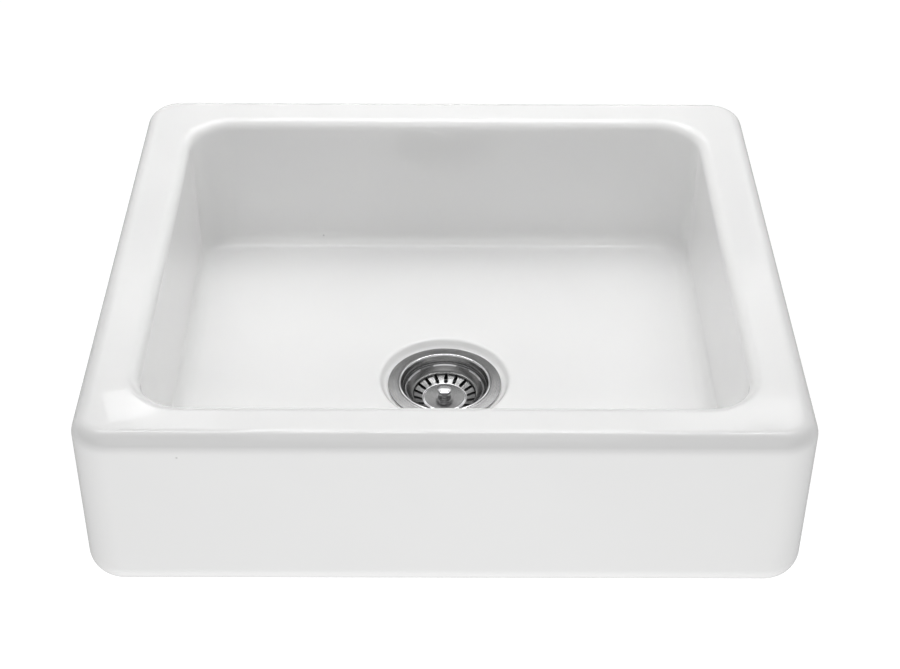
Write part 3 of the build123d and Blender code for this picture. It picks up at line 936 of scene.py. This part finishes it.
def build_world():
    """A dim grey studio whose lowest part is as white as the floor, so that the floor ends in white."""
    world = bpy.data.worlds.new("studio")
    world.use_nodes = True
    tree = world.node_tree
    background = tree.nodes["Background"]
    background.inputs["Color"].default_value = (1.0, 1.0, 1.0, 1.0)
    coordinates = tree.nodes.new("ShaderNodeTexCoord")
    split = tree.nodes.new("ShaderNodeSeparateXYZ")
    tree.links.new(coordinates.outputs["Generated"], split.inputs["Vector"])
    sweep = tree.nodes.new("ShaderNodeMapRange")
    sweep.interpolation_type = "SMOOTHSTEP"
    sweep.inputs["From Min"].default_value = SWEEP_START
    sweep.inputs["From Max"].default_value = SWEEP_END
    sweep.inputs["To Min"].default_value = FLOOR_GLOW
    sweep.inputs["To Max"].default_value = STUDIO_GLOW
    tree.links.new(split.outputs["Z"], sweep.inputs["Value"])
    tree.links.new(sweep.outputs["Result"], background.inputs["Strength"])
    bpy.context.scene.world = world


# ---- lights ----
DOME_R = 3.0
DOME_CENTRE = (0.0, 0.0, 0.1)
# Far lights on a dome round the sink, in degrees; azimuth 0 is before the apron and 90 is at its right.
SOFTBOXES = [
    dict(name="front", azimuth=0, elevation=45, width=56, height=42, radiance=0.66),
    dict(name="back", azimuth=180, elevation=55, width=56, height=42, radiance=0.20),
    dict(name="back_right", azimuth=140, elevation=46, width=36, height=54, radiance=0.66),
    dict(name="back_left", azimuth=220, elevation=46, width=36, height=54, radiance=0.62),
    dict(name="left", azimuth=270, elevation=55, width=56, height=22, radiance=0.22),
    dict(name="right", azimuth=90, elevation=55, width=56, height=22, radiance=0.14),
    dict(name="rear", azimuth=180, elevation=44.2, width=30, height=3.4, radiance=1.1),
    dict(name="lamp_left", azimuth=200.5, elevation=41.5, width=2.4, height=1.4, radiance=2.0),
    dict(name="lamp_right", azimuth=158, elevation=41.5, width=2.2, height=1.4, radiance=1.3),
]
OVERHEAD_Z = 1.05
# Near lights over the sink, in metres
OVERHEADS = [
    dict(name="strip", x=0.0, y=0.25, width=1.2, depth=0.06, radiance=11.8),
    dict(name="key", x=0.0, y=0.56, width=0.6, depth=0.36, radiance=3.3),
    dict(name="overhead", x=0.0, y=0.0, width=0.5, depth=0.36, radiance=0.4),
    dict(name="overhead_left", x=-0.5, y=0.0, width=0.5, depth=0.36, radiance=0.5),
    dict(name="overhead_right", x=0.5, y=0.0, width=0.5, depth=0.36, radiance=0.45),
    dict(name="overhead_front", x=0.0, y=-0.55, width=0.5, depth=0.5, radiance=0.5),
    dict(name="overhead_back", x=0.0, y=1.0, width=1.5, depth=0.5, radiance=0.6),
]


def light_panel(name, place, turn, width, depth, radiance):
    """An even rectangular light that faces down before its turn."""
    data = bpy.data.lights.new(name, "AREA")
    data.shape = "RECTANGLE"
    data.size = width
    data.size_y = depth
    data.energy = radiance * width * depth * math.pi
    lamp = new_object(name, data)
    lamp.location = place
    lamp.rotation_mode = "QUATERNION"
    lamp.rotation_quaternion = turn
    lamp.visible_camera = False


def softbox(name, azimuth, elevation, width, height, radiance):
    """A far light on the dome that faces the sink."""
    turn, rise = math.radians(azimuth), math.radians(elevation)
    toward = Vector((math.sin(turn) * math.cos(rise), -math.cos(turn) * math.cos(rise), math.sin(rise)))
    across = 2 * DOME_R * math.tan(math.radians(width / 2))
    up = 2 * DOME_R * math.tan(math.radians(height / 2))
    turn_in = (-toward).to_track_quat("-Z", "Y")
    light_panel(name, Vector(DOME_CENTRE) + toward * DOME_R, turn_in, across, up, radiance)


def overhead(name, x, y, width, depth, radiance):
    """A near light that faces straight down over the sink."""
    light_panel(name, Vector((x, y, OVERHEAD_Z)), Quaternion(), width, depth, radiance)


# ---- camera: place in metres, angles in radians ----
CAMERA_PLACE = (-0.0038, -1.4141, 1.1459)
CAMERA_YAW = -0.0063
CAMERA_PITCH = 0.6490
CAMERA_ROLL = 0.0068
FOCAL_PIXELS = 1797.2
PHOTO_WIDTH = 900
SENSOR_WIDTH = 36.0


def build_camera():
    """The camera looks down at the sink from the front, as the photograph does."""
    data = bpy.data.cameras.new("camera")
    data.sensor_width = SENSOR_WIDTH
    data.lens = FOCAL_PIXELS / PHOTO_WIDTH * SENSOR_WIDTH
    camera = new_object("camera", data)
    turn = Matrix.Rotation(CAMERA_YAW, 4, "Z")
    tilt = Matrix.Rotation(math.pi / 2 - CAMERA_PITCH, 4, "X")
    roll = Matrix.Rotation(CAMERA_ROLL, 4, "Z")
    camera.matrix_world = Matrix.Translation(CAMERA_PLACE) @ turn @ tilt @ roll
    bpy.context.scene.camera = camera


def build_sink():
    """The four remodelled pieces, and the finishes of all the others."""
    brushed = brushed_steel_painted_shade()
    polished = polished_and_highlight_steel()
    dress_nodes(polished)
    build_basin(glaze_material(), clay_material())
    build_cup(brushed, polished)
    build_basket(brushed, polished)
    build_knob(polished)


def build_studio():
    """Floor, surroundings, lights and camera."""
    build_floor()
    build_world()
    for light in SOFTBOXES:
        softbox(**light)
    for light in OVERHEADS:
        overhead(**light)
    build_camera()
    bpy.context.scene.view_settings.view_transform = "Standard"


build_sink()
build_studio()
